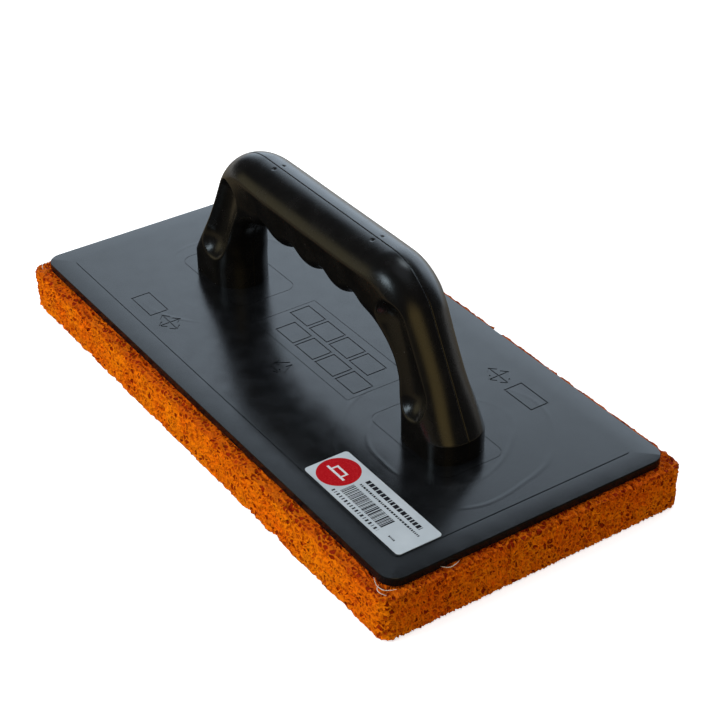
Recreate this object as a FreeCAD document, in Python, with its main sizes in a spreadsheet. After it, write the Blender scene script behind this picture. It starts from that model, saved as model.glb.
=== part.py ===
import FreeCAD, Part
import math
import os

import Sketcher
from FreeCAD import Placement, Rotation, Vector

# Grout float: a foam pad bonded under a moulded plate, with a hollow two-shell grip screwed on from
# below. Origin: centre of the pad's underside. +X runs along the float, +Z points up to the grip.

DIMENSIONS = {
    # foam pad and the glue that holds it
    "pad_length": 280, "pad_width": 140, "pad_height": 20, "pad_corner": 5,
    "glue_height": 0.3, "glue_inset": 2,
    # base plate
    "plate_length": 273, "plate_width": 130, "plate_height": 3.8, "plate_corner": 7,
    "plate_edge_round": 0.7, "border_width": 10, "border_corner": 2, "border_drop": 0.25,
    # grip, heights above the plate
    "grip_height": 70, "grip_span": 192, "foot_length": 35.2, "foot_width": 26.4,
    "foot_corner": 12, "foot_squareness": 2.3, "collar_height": 9, "leg_lean": 28,
    "outer_bend": 30, "inner_bend": 22, "belly_height": 40.5,
    "bar_width": 30.4, "leg_width": 25.4, "crease_depth": 8.5, "band_width": 23.6,
    "band_height": 12.5, "finger_pitch": 21.2, "finger_depth": 4.6, "finger_edge_depth": 2.6,
    "finger_count": 4,
    "leg_squareness": 2.5, "foot_blend": 28, "leg_reach": 38, "leg_blend": 60,
    "pocket_radius": 11.2, "pocket_depth": 4.5, "pocket_low": 22.8, "pocket_high": 48,
    "pocket_setback": 12.7,
    # grip shells
    "shell_wall": 3, "mark_radius": 0.6, "mark_depth": 0.3,
    "mark_place": 35.5, "mark_offset": 2.3, "pin_radius": 2, "pin_length": 4, "pin_clearance": 0.15,
    "pin_boss_radius": 4.2, "pin_place": 21.2, "pin_height": 56, "leg_pin_height": 42,
    # feet and screws
    "spigot_height": 7.5, "spigot_wall": 2.2, "spigot_clearance": 0.3,
    "screw_place": 78.4, "screw_radius": 1.8, "screw_bite": 10, "screw_head_radius": 3.8,
    "screw_head_height": 2.2, "screw_hole_clearance": 0.3, "screw_slot": 0.9, "boss_wall": 2.2,
    "boss_height": 14, "boss_web": 2.6,
    # label
    "label_length": 62.4, "label_width": 20, "label_height": 0.15, "label_corner": 1.6,
    "label_end_gap": 10.5, "label_side_gap": 10.9,
    # engraved marks
    "stroke_width": 0.55, "stroke_depth": 0.25, "field_length": 71, "field_width": 30.4,
    "insert_length": 50.6, "insert_width": 30.2, "insert_corner": 5, "insert_place": 74.7,
    "witness_width": 0.25,
}

doc = FreeCAD.newDocument("grout_float")
sheet = doc.addObject("Spreadsheet::Sheet", "Dimensions")


def fill_sheet():
    for row, (name, number) in enumerate(DIMENSIONS.items(), start=1):
        sheet.set(f"A{row}", name)
        sheet.set(f"B{row}", str(number))
        sheet.setAlias(f"B{row}", name)
    doc.recompute()


def size(name):
    return float(sheet.get(name))


fill_sheet()


# ---------------------------------------------------------------- sketch and body helpers


def new_body(name):
    body = doc.addObject("PartDesign::Body", name)
    body.Label = name
    return body


def origin_plane(body, role="XY_Plane"):
    return next(f for f in body.Origin.OriginFeatures if f.Role == role)


def flat_sketch(body, name, height):
    """A sketch on the body's XY plane, raised to the height given as an expression."""
    sketch = body.newObject("Sketcher::SketchObject", name)
    sketch.AttachmentSupport = [(origin_plane(body), "")]
    sketch.MapMode = "FlatFace"
    sketch.setExpression("AttachmentOffset.Base.z", height)
    return sketch


def rounded_rectangle(sketch, label, length, width, corner):
    """A centred rectangle with round corners, driven by three expressions."""
    first = sketch.GeometryCount
    half_l, half_w, r = 50, 30, 5
    corners = [(half_l - r, r - half_w), (half_l - r, half_w - r), (r - half_l, half_w - r), (r - half_l, r - half_w)]
    ends = [
        (r - half_l, -half_w, half_l - r, -half_w), (half_l, r - half_w, half_l, half_w - r),
        (half_l - r, half_w, r - half_l, half_w), (-half_l, half_w - r, -half_l, r - half_w),
    ]
    for side, ((cx, cy), (x0, y0, x1, y1)) in enumerate(zip(corners, ends)):
        sketch.addGeometry(Part.LineSegment(Vector(x0, y0, 0), Vector(x1, y1, 0)))
        turn = (side - 1) * math.pi / 2
        circle = Part.Circle(Vector(cx, cy, 0), Vector(0, 0, 1), r)
        sketch.addGeometry(Part.ArcOfCircle(circle, turn, turn + math.pi / 2))
    for side in range(4):
        line = first + 2 * side
        arc = line + 1
        after = first + (2 * side + 2) % 8
        sketch.addConstraint(Sketcher.Constraint("Tangent", line, 2, arc, 1))
        sketch.addConstraint(Sketcher.Constraint("Tangent", arc, 2, after, 1))
        sketch.addConstraint(Sketcher.Constraint("Vertical" if side % 2 else "Horizontal", line))
        if side:
            sketch.addConstraint(Sketcher.Constraint("Equal", first + 1, arc))
    sketch.addConstraint(Sketcher.Constraint("Symmetric", first, 1, first + 4, 1, -1, 1))
    driven = [
        (Sketcher.Constraint("DistanceX", first + 6, 1, first + 2, 1, 2.0 * half_l), "length", length),
        (Sketcher.Constraint("DistanceY", first, 1, first + 4, 1, 2.0 * half_w), "width", width),
        (Sketcher.Constraint("Radius", first + 1, float(r)), "corner", corner),
    ]
    for constraint, word, expression in driven:
        index = sketch.addConstraint(constraint)
        sketch.renameConstraint(index, f"{label}_{word}")
        sketch.setExpression(f"Constraints.{label}_{word}", expression)


def pad(body, sketch, name, height):
    feature = body.newObject("PartDesign::Pad", name)
    feature.Profile = sketch
    feature.setExpression("Length", height)
    return feature


def pocket(body, sketch, name, depth, upwards=False):
    feature = body.newObject("PartDesign::Pocket", name)
    feature.Profile = sketch
    feature.Reversed = upwards
    feature.setExpression("Length", depth)
    return feature


def add_feature(name, shape):
    feature = doc.addObject("Part::Feature", name)
    feature.Label = name
    feature.Shape = shape
    return feature


# ---------------------------------------------------------------- pad, glue and plate

UNDER_PLATE = "Dimensions.pad_height + Dimensions.glue_height"
PLATE_TOP = UNDER_PLATE + " + Dimensions.plate_height"


def make_sponge_pad():
    body = new_body("sponge_pad")
    sketch = flat_sketch(body, "pad_outline", "0 mm")
    rounded_rectangle(sketch, "pad", "Dimensions.pad_length", "Dimensions.pad_width", "Dimensions.pad_corner")
    pad(body, sketch, "pad_block", "Dimensions.pad_height")
    return body


def make_glue_film():
    body = new_body("glue_film")
    sketch = flat_sketch(body, "glue_outline", "Dimensions.pad_height")
    inset = " - 2 * Dimensions.glue_inset"
    rounded_rectangle(
        sketch, "glue", "Dimensions.plate_length" + inset, "Dimensions.plate_width" + inset,
        "Dimensions.plate_corner - Dimensions.glue_inset",
    )
    pad(body, sketch, "glue_layer", "Dimensions.glue_height")
    return body


def screw_circles(sketch, radius):
    """One circle at each screw, of the radius given as an expression."""
    for side, label in ((1, "right"), (-1, "left")):
        index = sketch.addGeometry(Part.Circle(Vector(60 * side, 0, 0), Vector(0, 0, 1), 3))
        sketch.addConstraint(Sketcher.Constraint("PointOnObject", index, 3, -1))
        place = (index, 3, -1, 1) if side < 0 else (-1, 1, index, 3)
        reach = sketch.addConstraint(Sketcher.Constraint("DistanceX", *place, 60.0))
        sketch.renameConstraint(reach, f"{label}_place")
        sketch.setExpression(f"Constraints.{label}_place", "Dimensions.screw_place")
        round_size = sketch.addConstraint(Sketcher.Constraint("Radius", index, 3.0))
        sketch.renameConstraint(round_size, f"{label}_radius")
        sketch.setExpression(f"Constraints.{label}_radius", radius)


def make_plate_blank():
    """The flat plate with its dropped border, rounded edge and two countersunk screw holes."""
    body = new_body("plate_blank")
    outline = flat_sketch(body, "plate_outline", UNDER_PLATE)
    rounded_rectangle(
        outline, "plate", "Dimensions.plate_length", "Dimensions.plate_width", "Dimensions.plate_corner"
    )
    slab = pad(body, outline, "plate_slab", "Dimensions.plate_height")
    doc.recompute()
    top = max(range(len(slab.Shape.Faces)), key=lambda i: slab.Shape.Faces[i].CenterOfMass.z)
    edge = body.newObject("PartDesign::Fillet", "plate_edge")
    edge.Base = (slab, [f"Face{top + 1}"])
    edge.setExpression("Radius", "Dimensions.plate_edge_round")
    doc.recompute()

    band = flat_sketch(body, "border_outline", PLATE_TOP)
    rounded_rectangle(
        band, "outer", "Dimensions.plate_length + 4", "Dimensions.plate_width + 4", "Dimensions.plate_corner"
    )
    inset = " - 2 * Dimensions.border_width"
    rounded_rectangle(
        band, "inner", "Dimensions.plate_length" + inset, "Dimensions.plate_width" + inset,
        "Dimensions.border_corner",
    )
    pocket(body, band, "border_step", "Dimensions.border_drop")

    holes = flat_sketch(body, "screw_hole_outline", UNDER_PLATE)
    screw_circles(holes, "Dimensions.screw_radius + Dimensions.screw_hole_clearance")
    pocket(body, holes, "screw_holes", "Dimensions.plate_height", upwards=True)
    heads = flat_sketch(body, "screw_head_outline", UNDER_PLATE)
    screw_circles(heads, "Dimensions.screw_head_radius + Dimensions.screw_hole_clearance")
    pocket(body, heads, "screw_seats", "Dimensions.screw_head_height", upwards=True)
    return body


# ---------------------------------------------------------------- engraved marks on the plate


def stroke(start, end):
    """A thin bar below the plate's top, from one point to the other, to be cut away."""
    width, depth = size("stroke_width"), size("stroke_depth")
    top = plate_top()
    run = math.hypot(end[0] - start[0], end[1] - start[1])
    bar = Part.makeBox(run + width, width, 2 * depth, Vector(-width / 2, -width / 2, -depth))
    angle = math.degrees(math.atan2(end[1] - start[1], end[0] - start[0]))
    bar.Placement = Placement(Vector(start[0], start[1], top), Rotation(Vector(0, 0, 1), angle))
    return bar


def polyline(points, closed=True):
    pairs = list(zip(points, points[1:]))
    if closed:
        pairs.append((points[-1], points[0]))
    return [stroke(a, b) for a, b in pairs]


def box_outline(cx, cy, length, width):
    half_l, half_w = length / 2, width / 2
    return polyline([
        (cx - half_l, cy - half_w), (cx + half_l, cy - half_w), (cx + half_l, cy + half_w), (cx - half_l, cy + half_w)
    ])


def size_sign(cx, cy, facing):
    """A rectangle beside two crossed measuring arrows: a picture of length by width, with no lettering."""
    flip = 1 if facing > 0 else -1
    bars = box_outline(cx - flip * 8, cy, 17, 8.5)
    reach, barb = 6.5, 2.2
    arrow_x = cx + flip * 10
    bars += polyline([(arrow_x - reach, cy), (arrow_x + reach, cy)], closed=False)
    bars += polyline([(arrow_x, cy - 5), (arrow_x, cy + 5)], closed=False)
    for side in (-1, 1):
        tip_x, tip_y = arrow_x + side * reach, cy + side * 5
        for lean in (-1, 1):
            bars.append(stroke((tip_x, cy), (tip_x - side * barb, cy + lean * barb)))
            bars.append(stroke((arrow_x, tip_y), (arrow_x + lean * barb, tip_y - side * barb)))
    return bars


def loop_sign(cx, cy, radius):
    """Three bent arrows round a triangle: the usual sign of a recyclable moulding."""
    bars = []
    for turn in range(3):
        angle = math.radians(90 + 120 * turn)
        following = math.radians(90 + 120 * (turn + 1))
        a = (cx + radius * math.cos(angle), cy + radius * math.sin(angle))
        b = (cx + radius * math.cos(following), cy + radius * math.sin(following))
        near = (a[0] + 0.18 * (b[0] - a[0]), a[1] + 0.18 * (b[1] - a[1]))
        far = (a[0] + 0.78 * (b[0] - a[0]), a[1] + 0.78 * (b[1] - a[1]))
        bars.append(stroke(near, far))
        along = math.atan2(b[1] - a[1], b[0] - a[0])
        for lean in (2.5, -2.5):
            barb = (far[0] + 2.4 * math.cos(along + lean), far[1] + 2.4 * math.sin(along + lean))
            bars.append(stroke(far, barb))
    return bars


def tile_field():
    """Two rows of outlined tiles in running bond, inside the panel at the middle of the plate."""
    tile, tall, gap = 13.2, 9.4, 2.0
    bars = []
    for row, (count, y) in enumerate(((4, 6.0), (4, -6.0))):
        shift = (tile + gap) * (0.25 if row else -0.25)
        for column in range(count):
            x = (column - (count - 1) / 2) * (tile + gap) + shift
            bars += box_outline(x, y, tile, tall)
    return bars


def plate_top():
    return size("pad_height") + size("glue_height") + size("plate_height")


def rounded_face(length, width, corner):
    """A flat rectangle with round corners, centred on the plate's top."""
    box = Part.makeBox(length, width, 1, Vector(-length / 2, -width / 2, 0))
    upright = [e for e in box.Edges if abs(e.tangentAt(e.FirstParameter).z) > 0.5]
    return box.makeFillet(corner, upright)


def outline_groove(place, length, width, corner):
    """A fine groove in the plate's top that follows a rounded rectangle centred at (place, 0)."""
    line, depth = size("witness_width"), size("stroke_depth")
    ring = rounded_face(length + line, width + line, corner + line / 2).cut(
        rounded_face(length - line, width - line, corner - line / 2)
    )
    ring.translate(Vector(place, 0, plate_top() - depth))
    return ring


def make_marks():
    bars = tile_field() + loop_sign(0, -24, 6.2)
    bars += size_sign(-66.5, -45, 1) + size_sign(66.5, 45, -1)
    bars.append(outline_groove(0, size("field_length"), size("field_width"), 0.5))
    insert = (size("insert_length"), size("insert_width"), size("insert_corner"))
    bars += [outline_groove(side * size("insert_place"), *insert) for side in (1, -1)]
    return add_feature("mark_strokes", bars[0].multiFuse(bars[1:]))


# ---------------------------------------------------------------- the grip's shape

# The grip is symmetric about x = 0. A station pairs a point of its outer line with a point of its
# inner line, both in the XZ plane with heights above the plate. Its section lies in the plane
# through both points and the Y direction: across = distance from the middle, in = distance from
# the outer point.

ROUND_STEPS = 12
LEG_STEPS = 16
BAR_STEPS_PER_FINGER = 8
HOLLOW_FADE = 16
FLAT = 1e-4


def smooth(t):
    t = min(max(t, 0.0), 1.0)
    return t * t * (3 - 2 * t)


def outer_line():
    """The leg's outer face and the bend above it, from the collar up. Returns its length and a
    function that gives the point at a distance along it."""
    lean = math.radians(size("leg_lean"))
    radius = size("outer_bend")
    foot_x, foot_z = size("grip_span") / 2, size("collar_height")
    top = size("grip_height")
    turn = math.pi / 2 - lean
    apex_x = foot_x - (top - foot_z) * math.tan(lean)
    tangent = radius * math.tan(turn / 2)
    centre_x, centre_z = apex_x - tangent, top - radius
    run = (top - foot_z) / math.cos(lean) - tangent

    def point(place):
        if place <= run:
            return foot_x - place * math.sin(lean), foot_z + place * math.cos(lean)
        swing = lean + (place - run) / radius
        return centre_x + radius * math.cos(swing), centre_z + radius * math.sin(swing)

    return run + radius * turn, point


def inner_line():
    """The leg's inner face and the bend under the bar, in the same form as outer_line."""
    radius = size("inner_bend")
    foot_x = size("grip_span") / 2 - size("foot_length")
    foot_z, belly = size("collar_height"), size("belly_height")
    run = belly - radius - foot_z

    def point(place):
        if place <= run:
            return foot_x, foot_z + place
        swing = (place - run) / radius
        return foot_x - radius + radius * math.cos(swing), belly - radius + radius * math.sin(swing)

    return run + radius * math.pi / 2, point


def stations():
    """(outer point, inner point, legness, footness, reach) from the right collar to the middle.
    legness is 1 down the leg and 0 along the bar; footness is 1 at the collar and fades out above
    it; reach is the distance from the collar along the outer line."""
    outer_length, outer = outer_line()
    inner_length, inner = inner_line()

    def station(outer_point, inner_point, reach):
        legness = 1 - smooth((reach - size("leg_reach")) / size("leg_blend"))
        return outer_point, inner_point, legness, 1 - smooth(reach / size("foot_blend")), reach

    result = []
    for step in range(LEG_STEPS + 1):
        share = step / LEG_STEPS
        reach = outer_length * share
        result.append(station(outer(reach), inner(inner_length * share), reach))
    bar_out, bar_in = result[-1][0][0], result[-1][1][0]
    steps = round(BAR_STEPS_PER_FINGER * bar_in / size("finger_pitch"))
    for step in range(1, steps + 1):
        share = 1 - step / steps
        result.append(station(
            (bar_out * share, size("grip_height")), (bar_in * share, size("belly_height")),
            outer_length + bar_out * (1 - share),
        ))
    return result


def finger_wave(x):
    """0 on the ridges between the fingers, 1 at the middle of each finger's recess."""
    pitch, count = size("finger_pitch"), size("finger_count")
    if abs(x) > pitch * count / 2:
        return 0.0
    phase = (x / pitch + (0.5 if count % 2 == 0 else 0.0)) * 2 * math.pi
    return (0.5 + 0.5 * math.cos(phase)) ** 1.3


def half_section(outer, inner, legness, footness, inset):
    """Three runs of points, (across, in), down one side: spine, side band and inner round."""
    depth = math.dist(outer, inner) - 2 * inset
    bar_half, leg_half = size("bar_width") / 2, size("leg_width") / 2
    width = bar_half + (leg_half - bar_half) * legness
    width += (size("foot_width") / 2 - width) * footness
    spine = width + (size("foot_corner") - width) * footness - inset
    width -= inset
    power = 2 / (2 + footness * (size("foot_squareness") - 2))
    crease = math.acos(1 - size("crease_depth") / bar_half)
    sweep = crease + (math.pi / 2 - crease) * footness
    run_spine = []
    for step in range(ROUND_STEPS + 1):
        angle = sweep * step / ROUND_STEPS
        run_spine.append((width * math.sin(angle) ** power, spine * (1 - math.cos(angle) ** power)))
    edge_across, edge_in = run_spine[-1]

    wave = finger_wave(inner[0]) * (1 - legness)
    bar_low_in = size("crease_depth") + size("band_height") - size("finger_edge_depth") * wave - inset
    leg_low_in = 0.6 * depth
    low_in = bar_low_in + (leg_low_in - bar_low_in) * legness
    low_in += (depth - width - low_in) * footness
    low_across = size("band_width") / 2 - inset
    low_across += (edge_across - low_across) * legness
    low_across += (width - low_across) * footness
    run_band = [(edge_across, edge_in), (low_across, low_in)]

    bottom = depth - size("finger_depth") * wave
    power = 2 / (2 + legness * (1 - footness) * (size("leg_squareness") - 2))
    run_round = []
    for step in range(ROUND_STEPS + 1):
        angle = math.pi / 2 * step / ROUND_STEPS
        across = low_across * max(math.cos(angle), 0) ** power if step < ROUND_STEPS else 0.0
        run_round.append((across, low_in + (bottom - low_in) * math.sin(angle) ** power))
    return run_spine, run_band, run_round


def smooth_curve(points, places):
    """The curve through the points that passes each at its place, from 0 to 1."""
    curve = Part.BSplineCurve()
    if len(points) == 2:
        curve.buildFromPoles(points, False, 1)
    else:
        curve.interpolate(Points=points, Parameters=places)
    return curve


def run_curve(points):
    return smooth_curve(points, [k / (len(points) - 1) for k in range(len(points))])


def skin_face(curves, places):
    """The smooth face through curves that share their knots, each at its place along it."""
    rows = [curve.getPoles() for curve in curves]
    lengthways = [smooth_curve(list(column), places) for column in zip(*rows)]
    first, along = curves[0], lengthways[0]
    surface = Part.BSplineSurface()
    surface.buildFromPolesMultsKnots(
        [curve.getPoles() for curve in lengthways], first.getMultiplicities(), along.getMultiplicities(),
        first.getKnots(), along.getKnots(), False, False, first.Degree, along.Degree,
    )
    return surface.toShape()


def hollow_share(reach):
    """How much of the leg's width the hollow keeps: it narrows to pass behind the scoop."""
    narrow = size("band_width") / 2 - size("pocket_depth") - size("shell_wall")
    share = narrow / (size("leg_width") / 2 - size("shell_wall"))
    slope = math.cos(math.radians(size("leg_lean")))
    end = (size("pocket_high") - size("collar_height")) / slope
    return 1 - (1 - share) * smooth(reach / HOLLOW_FADE) * (1 - smooth((reach - end) / HOLLOW_FADE))


def section_curves(station, inset):
    """The near side of the grip's section at a station, in three runs from the middle plane round."""
    outer, inner, legness, footness, reach = station
    share = hollow_share(reach) if inset else 1
    gap = math.dist(outer, inner)
    down = ((inner[0] - outer[0]) / gap, (inner[1] - outer[1]) / gap)
    lift = plate_top()

    def place(point):
        across, inward = point[0], point[1] + inset
        return Vector(outer[0] + down[0] * inward, -across * share, outer[1] + down[1] * inward + lift)

    runs = half_section(outer, inner, legness, footness, inset)
    return [run_curve([place(p) for p in run]) for run in runs]


def places_along(line):
    """Each station's share of the way along the grip, measured halfway between its two lines."""
    steps = [
        math.dist(a[0], b[0]) + math.dist(a[1], b[1]) for a, b in zip(line, line[1:])
    ]
    return [sum(steps[:k]) / sum(steps) for k in range(len(line))]


def all_stations():
    right = stations()
    left = [((-o[0], o[1]), (-i[0], i[1]), *rest) for o, i, *rest in right]
    return right + left[-2::-1]


def free_edges(faces):
    edges = [edge for face in faces for edge in face.Edges]
    return [e for e in edges if sum(e.isSame(other) for other in edges) == 1]


def closed_solid(faces):
    shell = Part.Shell(faces)
    shell.sewShape()
    solid = Part.Solid(shell)
    if solid.Volume < 0:
        solid.reverse()
    return solid


def grip_half(inset):
    """The near half of the grip from foot to foot, moved inwards, without its scoops. Its last three
    faces are the two under the feet and the one on the middle plane."""
    line = all_stations()
    sections = [section_curves(station, inset) for station in line]
    faces = [skin_face(list(run), places_along(line)) for run in zip(*sections)]
    ends = []
    for section in (sections[0], sections[-1]):
        wire = Part.Wire([curve.toShape() for curve in section])
        faces += wire.extrude(Vector(0, 0, -size("collar_height"))).Faces
        wire.translate(Vector(0, 0, -size("collar_height")))
        points = [v.Point for v in wire.Vertexes if abs(v.Point.y) < FLAT]
        ends.append(Part.Face(Part.Wire(wire.Edges + [Part.LineSegment(*points).toShape()])))
    side = Part.Shell(faces + ends)
    side.sewShape()
    middle = Part.Face(Part.Wire(Part.__sortEdges__(free_edges(side.Faces))))
    return closed_solid(side.Faces + [middle])


def sorted_faces(solid):
    """A solid's faces in four groups: on the middle plane, under the left foot, under the right
    foot and all the others."""
    middle, left, right, others = [], [], [], []
    for face in solid.Faces:
        box = face.BoundBox
        if max(abs(box.YMin), abs(box.YMax)) < FLAT:
            middle.append(face)
        elif max(abs(box.ZMin - plate_top()), abs(box.ZMax - plate_top())) < FLAT:
            (left if face.CenterOfMass.x < 0 else right).append(face)
        else:
            others.append(face)
    return middle, left, right, others


def hollowed(outside, hollow):
    """The outside form less the hollow, which meets its skin only on the middle plane and under the
    feet: both skins are kept and the flat faces between them are made new."""
    *flats_out, skin_out = sorted_faces(outside)
    *flats_in, skin_in = sorted_faces(hollow)
    faces = skin_out + skin_in
    for around, inside in zip(flats_out, flats_in):
        faces += around[0].cut(inside[0]).Faces
    return closed_solid(faces)


def leg_pocket(side):
    """The tool for the long scoop in a leg's side: a round-ended bar laid along it. side is its X sign."""
    lean = math.radians(size("leg_lean"))
    foot_x, foot_z = size("grip_span") / 2, size("collar_height")
    radius = size("pocket_radius")
    sunk = size("band_width") / 2 - size("pocket_depth") + radius

    def centre(height):
        outer_x = foot_x - (height - foot_z) * math.tan(lean)
        return Vector(side * (outer_x - size("pocket_setback") / math.cos(lean)), -sunk, height + plate_top())

    low, high = centre(size("pocket_low")), centre(size("pocket_high"))
    axis = (high - low).normalize()
    away = Vector(0, -radius, 0)
    slant = (away - axis * radius) * math.sqrt(0.5)
    profile = Part.Wire([
        Part.Arc(low - axis * radius, low + slant, low + away).toShape(),
        Part.LineSegment(low + away, high + away).toShape(),
        Part.Arc(high + away, high + (away + axis * radius) * math.sqrt(0.5), high + axis * radius).toShape(),
        Part.LineSegment(high + axis * radius, low - axis * radius).toShape(),
    ])
    return Part.Face(profile).revolve(low, axis, 360)


# ---------------------------------------------------------------- grip shells


def post(x, height, radius, start, end):
    """A round post along Y at (x, height above the plate), from one Y to the other."""
    return Part.makeCylinder(radius, end - start, Vector(x, start, height + plate_top()), Vector(0, 1, 0))


def pin_places():
    """(x, height) of the pins that line the two shells up: two in the bar, one in each leg."""
    leg_x = inner_leg_middle(size("leg_pin_height"))
    bar_x = size("pin_place")
    return [(bar_x, size("pin_height")), (-bar_x, size("pin_height")), (leg_x, size("leg_pin_height")),
            (-leg_x, size("leg_pin_height"))]


def inner_leg_middle(height):
    """X halfway through the leg, at a height above the plate."""
    outer_x = size("grip_span") / 2 - (height - size("collar_height")) * math.tan(math.radians(size("leg_lean")))
    inner_x = size("grip_span") / 2 - size("foot_length") - size("inner_bend")
    rise = height - (size("belly_height") - size("inner_bend"))
    if 0 <= rise < size("inner_bend"):
        inner_x += math.sqrt(size("inner_bend") ** 2 - rise ** 2)
    else:
        inner_x += size("inner_bend")
    return (outer_x + inner_x) / 2


def screw_boss(side):
    """The round boss that a foot screw bites into, with a web to the near wall. side is its X sign."""
    x, top = side * size("screw_place"), plate_top()
    radius = size("screw_radius") + size("boss_wall")
    boss = Part.makeCylinder(radius, size("boss_height"), Vector(x, 0, top))
    start = size("spigot_height") + 1
    web = Part.makeBox(
        size("boss_web"), size("foot_width") / 2, size("boss_height") - start,
        Vector(x - size("boss_web") / 2, -size("foot_width") / 2, top + start),
    )
    return boss, web


def grip_shell_shape(screw_side, has_pins):
    """A hollow half of the grip on the near side. It carries the screw boss of one foot, and the
    pins or the sockets that line it up with its twin."""
    outside = grip_half(0).cut([leg_pocket(1), leg_pocket(-1)])
    shell = hollowed(outside, grip_half(size("shell_wall")))

    far = size("bar_width")
    inside = [post(x, z, size("pin_boss_radius"), -far, 0) for x, z in pin_places()]
    boss, web = screw_boss(screw_side)
    additions = [piece.common(outside) for piece in inside + [web]] + [boss]
    shell = shell.fuse(additions)

    pilot_foot = Vector(screw_side * size("screw_place"), 0, plate_top())
    cuts = [Part.makeCylinder(size("screw_radius"), size("screw_bite") + 1, pilot_foot)]
    marks = [(size("mark_place") * side, size("mark_offset")) for side in (1, -1)]
    for x, across in marks:
        drop = size("bar_width") / 2 - math.sqrt((size("bar_width") / 2) ** 2 - across ** 2)
        surface = plate_top() + size("grip_height") - drop
        cuts.append(Part.makeCylinder(
            size("mark_radius"), 2 * size("mark_depth"), Vector(x, -across, surface - size("mark_depth"))
        ))
    if has_pins:
        shell = shell.cut(cuts)
        pins = [post(x, z, size("pin_radius"), -1, size("pin_length")) for x, z in pin_places()]
        shell = shell.fuse(pins)
    else:
        socket = size("pin_radius") + size("pin_clearance")
        reach = size("pin_length") + size("pin_clearance")
        cuts += [post(x, z, socket, -reach, 0) for x, z in pin_places()]
        shell = shell.cut(cuts)
    return shell


def make_grip_shells():
    """The near shell and its twin, which is turned half round so that its screw is in the other foot."""
    near = grip_shell_shape(1, True)
    far = grip_shell_shape(1, False)
    far.rotate(Vector(0, 0, 0), Vector(0, 0, 1), 180)
    return add_feature("grip_shell_near", near), add_feature("grip_shell_far", far)


# ---------------------------------------------------------------- spigots, screws and label


def foot_block(side, inset, height):
    """A block with the foot's outline moved inwards, standing on the plate. side is its X sign."""
    outer, inner = stations()[0][:2]
    edges = []
    for across_sign in (1, -1):
        for run in half_section(outer, inner, 1.0, 1.0, inset):
            edges.append(run_curve([
                Vector(side * (outer[0] - inset - inward), across_sign * across, plate_top())
                for across, inward in run
            ]).toShape())
    outline = Part.Wire(Part.__sortEdges__(edges))
    return Part.Face(outline).extrude(Vector(0, 0, height))


def make_spigots():
    """Two low rings on the plate that the hollow feet slip over."""
    outer = size("shell_wall") + size("spigot_clearance")
    rings = []
    for side in (1, -1):
        ring = foot_block(side, outer, size("spigot_height")).cut(
            foot_block(side, outer + size("spigot_wall"), size("spigot_height"))
        )
        rings.append(ring)
    return add_feature("foot_spigots", Part.makeCompound(rings))


def make_base_plate():
    blank, spigots, marks = make_plate_blank(), make_spigots(), make_marks()
    doc.recompute()
    joined = doc.addObject("Part::MultiFuse", "plate_with_spigots")
    joined.Shapes = [blank, spigots]
    plate = doc.addObject("Part::Cut", "base_plate")
    plate.Label = "base_plate"
    plate.Base, plate.Tool = joined, marks
    doc.recompute()
    return plate


def make_screw(side, label):
    """A countersunk-flush screw driven up through the plate, with a cross slot in its head."""
    at = "Placement.Base."
    place = ("" if side > 0 else "-") + "Dimensions.screw_place"
    head = doc.addObject("Part::Cylinder", f"{label}_head")
    head.setExpression("Radius", "Dimensions.screw_head_radius")
    head.setExpression("Height", "Dimensions.screw_head_height")
    shank = doc.addObject("Part::Cylinder", f"{label}_shank")
    shank.setExpression("Radius", "Dimensions.screw_radius")
    shank.setExpression("Height", "Dimensions.plate_height + Dimensions.screw_bite")
    slots = []
    for word, long_way in (("x", "Length"), ("y", "Width")):
        slot = doc.addObject("Part::Box", f"{label}_slot_{word}")
        for way in ("Length", "Width"):
            slot.setExpression(way, "Dimensions.screw_head_radius" if way == long_way else "Dimensions.screw_slot")
        slot.setExpression("Height", "Dimensions.screw_head_height / 2")
        half_x = "Dimensions.screw_head_radius / 2" if long_way == "Length" else "Dimensions.screw_slot / 2"
        half_y = "Dimensions.screw_slot / 2" if long_way == "Length" else "Dimensions.screw_head_radius / 2"
        slot.setExpression(at + "x", f"{place} - {half_x}")
        slot.setExpression(at + "y", f"-{half_y}")
        slots.append(slot)
    for piece in (head, shank):
        piece.setExpression(at + "x", place)
    for piece in (head, shank, *slots):
        piece.setExpression(at + "z", UNDER_PLATE)
    blank = doc.addObject("Part::MultiFuse", f"{label}_blank")
    blank.Shapes = [head, shank]
    recess = doc.addObject("Part::MultiFuse", f"{label}_recess")
    recess.Shapes = slots
    screw = doc.addObject("Part::Cut", label)
    screw.Base, screw.Tool = blank, recess
    return screw


def make_foot_screws():
    screws = doc.addObject("Part::Compound", "foot_screws")
    screws.Label = "foot_screws"
    screws.Links = [make_screw(1, "right_screw"), make_screw(-1, "left_screw")]
    return screws


def make_label():
    body = new_body("label")
    sketch = flat_sketch(body, "label_outline", PLATE_TOP)
    sketch.setExpression(
        "AttachmentOffset.Base.x",
        "Dimensions.plate_length / 2 - Dimensions.label_end_gap - Dimensions.label_length / 2",
    )
    sketch.setExpression(
        "AttachmentOffset.Base.y",
        "Dimensions.label_side_gap + Dimensions.label_width / 2 - Dimensions.plate_width / 2",
    )
    rounded_rectangle(
        sketch, "label", "Dimensions.label_length", "Dimensions.label_width", "Dimensions.label_corner"
    )
    pad(body, sketch, "label_sheet", "Dimensions.label_height")
    return body


# ---------------------------------------------------------------- build, check and export


def check_objects():
    for item in doc.Objects:
        if {"Invalid", "Error"} & set(item.State):
            raise RuntimeError(f"{item.Name} is {item.State}")


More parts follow.
